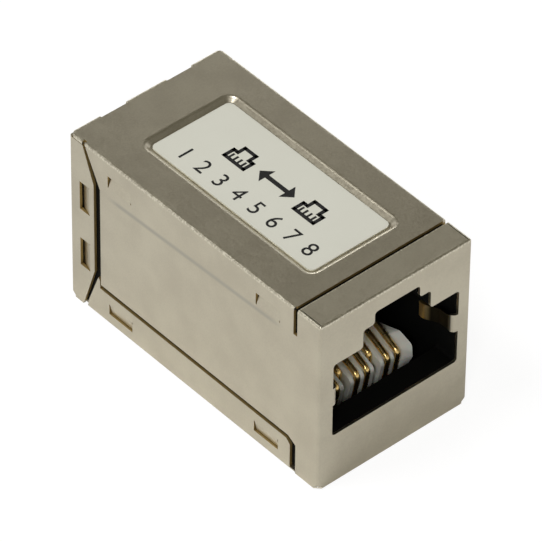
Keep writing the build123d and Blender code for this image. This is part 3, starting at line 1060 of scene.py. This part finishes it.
@dataclass
class Studio:
    """The camera, the pale floor and the soft light.

    Attributes:
        azimuth: Camera's turn round the box in degrees, where 0 looks along +Y.
        elevation: Camera's height above the horizon in degrees.
        roll: Camera's turn about its own axis in degrees.
        distance: From the camera to the point that it looks at, in metres.
        target: The point that the camera looks at, in metres.
        focal_pixels: Focal length in pixels of the photograph.
        sensor: Sensor width in millimetres.
        clip: Nearest and farthest distance that the camera sees, in metres.
        floor_size: Half width of the floor, in metres.
        floor_drop: Depth of the floor below the standing face, in metres, so that the two never mix.
        floor_tone: Tone of the floor in the light that it throws on the box.
        camera_glow: Strength of the floor's own white in what the camera sees.
        camera_lit: Share of the lamps' light, and so of the shadow, in what the camera sees.
        mirror_glow: Strength of the floor's own white in what the metal reflects.
        mirror_lit: Share of the lamps' light in what the metal reflects.
        horizon: Heights on the dome, from 0 to 1, between which its white fades.
        overhead: Tone of the dome above the box.
        lamps: The key lamp, the lamp that lights the port, and the lamp behind the box.
    """

    azimuth: float = -41.63
    elevation: float = 42.58
    roll: float = 0.742
    distance: float = 0.4732
    target: tuple[float, float, float] = (0.33 * MM, 0.03 * MM, 7.65 * MM)
    focal_pixels: float = 6251.0
    sensor: float = 36.0
    clip: Span = (0.01, 10.0)
    floor_size: float = 4.0
    floor_drop: float = 0.01 * MM
    floor_tone: Colour = (0.9, 0.9, 0.9)
    camera_glow: float = 0.9
    camera_lit: float = 0.18
    mirror_glow: float = 0.1
    mirror_lit: float = 0.86
    horizon: Span = (0.05, 0.6)
    overhead: Colour = (0.142, 0.133, 0.103)
    lamps: tuple[Lamp, ...] = (
        Lamp("key_lamp", azimuth=-114.0, elevation=64.0, reach=0.6, size=0.2, power=1.4),
        Lamp("port_lamp", azimuth=-50.0, elevation=38.0, reach=0.6, size=0.12, power=0.72),
        Lamp("rim_lamp", azimuth=140.0, elevation=20.0, reach=0.25, size=0.05, power=0.05),
    )

    def camera(self) -> None:
        """Sets the camera at the photograph's place."""
        data = bpy.data.cameras.new("camera")
        data.sensor_width = self.sensor
        data.lens = self.sensor * self.focal_pixels / PHOTO_WIDTH
        data.clip_start, data.clip_end = self.clip
        view = bpy.data.objects.new("camera", data)
        back = direction(self.azimuth, self.elevation)
        place = Matrix.Translation(Vector(self.target) + back * self.distance)
        roll = Matrix.Rotation(math.radians(self.roll), 4, "Z")
        view.matrix_world = place @ facing_box(back) @ roll
        bpy.context.scene.collection.objects.link(view)
        bpy.context.scene.camera = view

    def floor(self) -> None:
        """Lays the pale floor, which is white to the camera and to mirrors but for the box's shadow."""
        half = self.floor_size
        outline = rectangle(-half, -half, half, half)
        corners = np.column_stack([outline, np.full(len(outline), -self.floor_drop)])
        material = bpy.data.materials.new("pale_floor")
        material.use_nodes = True
        material.node_tree.nodes.clear()
        graph = Graph(material.node_tree)
        rays = graph.add("ShaderNodeLightPath").outputs
        through = graph.math("MAXIMUM", rays["Is Camera Ray"], rays["Is Transmission Ray"])
        seen = graph.math("MAXIMUM", through, rays["Is Glossy Ray"])
        glow = graph.math("MULTIPLY_ADD", through, self.camera_glow - self.mirror_glow, self.mirror_glow)
        share = graph.math("MULTIPLY_ADD", through, self.camera_lit - self.mirror_lit, self.mirror_lit)
        matt = graph.add("ShaderNodeBsdfDiffuse", {"Color": as_rgba(self.floor_tone)})
        lit = graph.add("ShaderNodeBsdfDiffuse", {"Color": share})
        white = graph.add("ShaderNodeEmission", {"Color": as_rgba(WHITE), "Strength": glow})
        shown = graph.add("ShaderNodeAddShader", {0: white.outputs[0], 1: lit.outputs[0]})
        both = graph.add("ShaderNodeMixShader", {0: seen, 1: matt.outputs[0], 2: shown.outputs[0]})
        graph.add("ShaderNodeOutputMaterial", {"Surface": both.outputs[0]})
        mesh_object("floor", corners, [(0, 1, 2, 3)], material)

    def world(self) -> None:
        """Sets a dome that is white at the horizon and a dim warm grey overhead."""
        world = bpy.data.worlds.new("studio")
        world.use_nodes = True
        world.node_tree.nodes.clear()
        graph = Graph(world.node_tree)
        _, _, height = graph.axes(graph.add("ShaderNodeTexCoord").outputs["Generated"])
        tone = graph.mix(graph.smooth(height, self.horizon), WHITE, self.overhead)
        light = graph.add("ShaderNodeBackground", {"Color": tone, "Strength": 1.0})
        graph.add("ShaderNodeOutputWorld", {"Surface": light.outputs[0]})
        bpy.context.scene.world = world

    def build(self) -> None:
        """Builds the whole studio."""
        self.camera()
        self.floor()
        self.world()
        for lamp in self.lamps:
            lamp.hang()
        bpy.context.scene.view_settings.view_transform = "Standard"


@dataclass
class Coupler:
    """The coupler's pieces and their finishes.

    Attributes:
        nickel: Finish of both shields.
        film: Finish of the label.
        ink: Finish of the label's print.
        gold: Finish of the wires.
        jack: Finish of the jack bodies.
        sled: Finish of the combs.
        board: Finish of the circuit board.
    """

    nickel: SatinNickel = SatinNickel()
    film: LabelFilm = LabelFilm()
    ink: PrintInk = PrintInk()
    gold: GoldPlate = GoldPlate()
    jack: Moulding = Moulding(
        "jack_plastic", (0.007, 0.007, 0.006), (0.004, 0.004, 0.004), (0.60, 0.74), shine=0.07
    )
    sled: Moulding = Moulding(
        "sled_plastic", (0.90, 0.90, 0.83), (0.84, 0.84, 0.77), (0.28, 0.42), subsurface=0.1
    )
    board: Moulding = Moulding(
        "board_laminate", (0.008, 0.02, 0.012), (0.005, 0.013, 0.008), (0.34, 0.48)
    )

    def dress(self, nodes: dict[str, bpy.types.Object]) -> list[bpy.types.Object]:
        """Gives every node its finish and adds the print.

        Args:
            nodes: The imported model's nodes by name.

        Returns:
            The new pieces.
        """
        grain = SurfaceGrain().build()
        low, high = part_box("shield_shell")
        size = Vector(high) - Vector(low)
        finishes = {
            Finish.SHIELD: self.nickel.build(grain, SheetEdges().build(size.x, size.y, size.z)),
            Finish.JACK: self.jack.build(grain),
            Finish.SLED: self.sled.build(grain),
            Finish.BOARD: self.board.build(grain),
            Finish.GOLD: self.gold.build(grain),
            Finish.FILM: self.film.build(grain),
        }
        for name, node in nodes.items():
            node.data.materials.clear()
            node.data.materials.append(finishes[self.finish_of(name)])
            LOG.info("dressed %s", name)
        prints = LabelPrint().build(self.ink.build(grain))
        return prints

    def finish_of(self, name: str) -> Finish:
        """The finish that a node takes, by the kind of piece that its name gives.

        Args:
            name: The node's name.

        Returns:
            The finish.
        """
        if name in ("shield_shell", "bottom_cover"):
            return Finish.SHIELD
        if name == "label":
            return Finish.FILM
        if name == "circuit_board":
            return Finish.BOARD
        if name.endswith("jack_body"):
            return Finish.JACK
        return Finish.SLED if name.endswith("contact_sled") else Finish.GOLD


def main() -> None:
    """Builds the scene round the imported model."""
    logging.basicConfig(level=logging.INFO, format="%(message)s")
    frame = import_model()
    Studio().build()
    for piece in Coupler().dress(frame["nodes"]):
        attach(piece, ROOT)
        LOG.info("built %s", piece.name)


if __name__ == "__main__":
    main()
